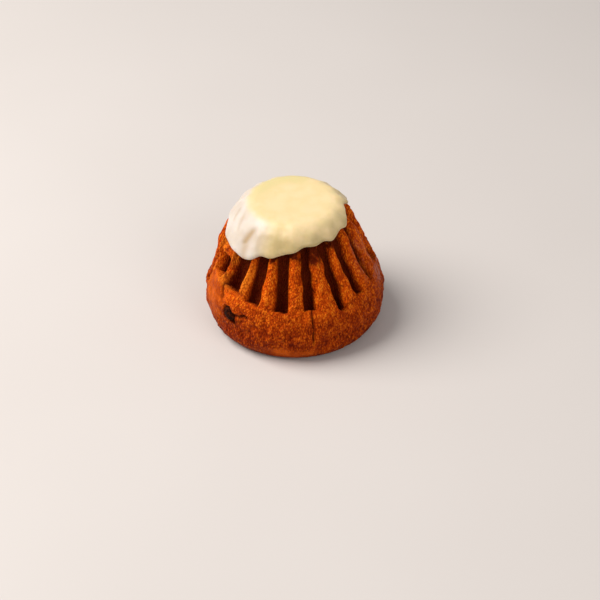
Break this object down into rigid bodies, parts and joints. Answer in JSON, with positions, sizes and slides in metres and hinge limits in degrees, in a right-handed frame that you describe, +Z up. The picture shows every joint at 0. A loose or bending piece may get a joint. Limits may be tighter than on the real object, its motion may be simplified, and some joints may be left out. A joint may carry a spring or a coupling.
{
  "type": "rum baba",
  "caption": "Small fluted yeast cake on its risen crown, soaked in syrup, with a cap of poured icing and raisins in its crust.",
  "frame": {"origin": "middle of the foot that the cake rests on, at the bottom centre of the whole", "axes": "+Z up through the icing, -Y towards the front of the cake, +X to the right seen from the front"},
  "size_m": [0.0752, 0.0749, 0.0559],
  "materials": {
    "crust": "dark golden-brown baked crust, porous, sticky with syrup, near black in the flutes",
    "icing": "poured icing, pale yellow on top and off-white down the sides, soft gloss",
    "raisin": "dark wrinkled raisin skin, slightly glossy"
  },
  "bodies": {
    "root": {"dough": "crust", "icing": "icing", "raisin_1": "raisin", "raisin_2": "raisin"}
  },
  "joints": []
}
